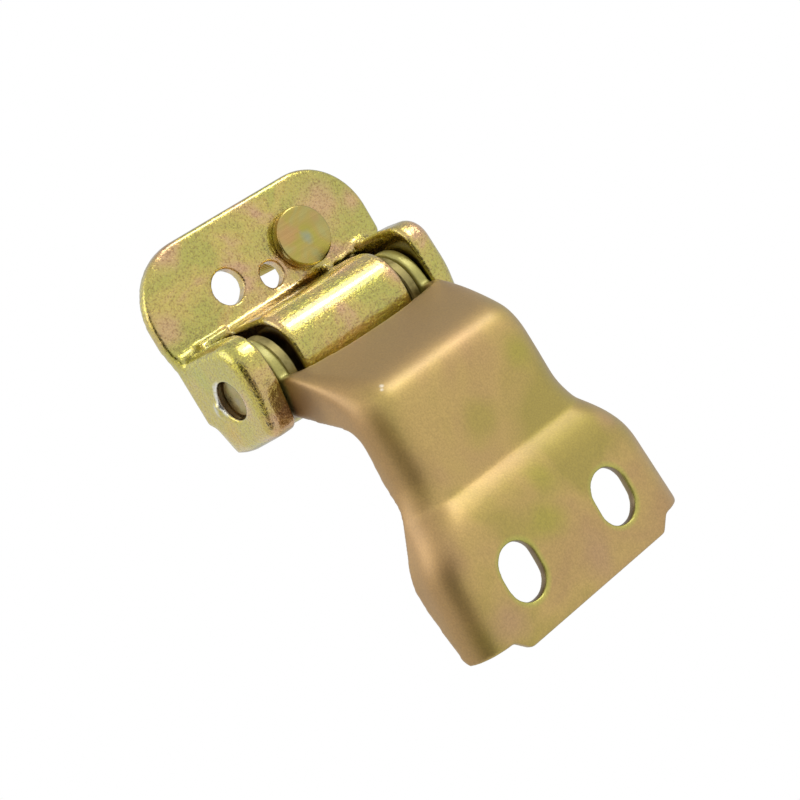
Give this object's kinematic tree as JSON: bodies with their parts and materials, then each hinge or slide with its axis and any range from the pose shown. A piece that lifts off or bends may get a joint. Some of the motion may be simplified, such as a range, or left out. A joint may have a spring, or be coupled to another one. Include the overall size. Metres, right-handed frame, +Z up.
{
  "type": "car door hinge",
  "caption": "Car door hinge: a forged pillar bracket with knuckle, staked pin and stud, and a pressed channel arm with slotted door end that swings on flanged bushes.",
  "frame": {"origin": "centre of the pillar bolt hole on the bracket's flat rear face", "axes": "+Z up along the hinge pin; +Y square out of the bracket's rear face, into the pillar; the door arm reaches towards -X and stands off towards -Y"},
  "size_m": [0.1175, 0.0814, 0.0733],
  "materials": {
    "bracket_plating": "glossy yellow zinc plating over a rough forged skin",
    "stud_plating": "yellow zinc plating, head lightly brushed",
    "pin_steel": "yellow zinc plating, satin",
    "bush_metal": "dull olive bearing metal",
    "arm_plating": "satin yellow zinc plating on smooth pressed sheet"
  },
  "bodies": {
    "pillar_bracket": {"pillar_bracket": "bracket_plating", "pillar_stud": "stud_plating", "hinge_pin": "pin_steel"},
    "door_arm": {"door_arm": "arm_plating", "upper_flanged_bush": "bush_metal", "lower_flanged_bush": "bush_metal"}
  },
  "joints": [
    {"name": "door_swing", "type": "hinge", "parent": "pillar_bracket", "child": "door_arm", "pos_m": [-0.0226, -0.0155, -0.0108], "axis": [0, 0, 1], "range_deg": [0, 80]}
  ]
}
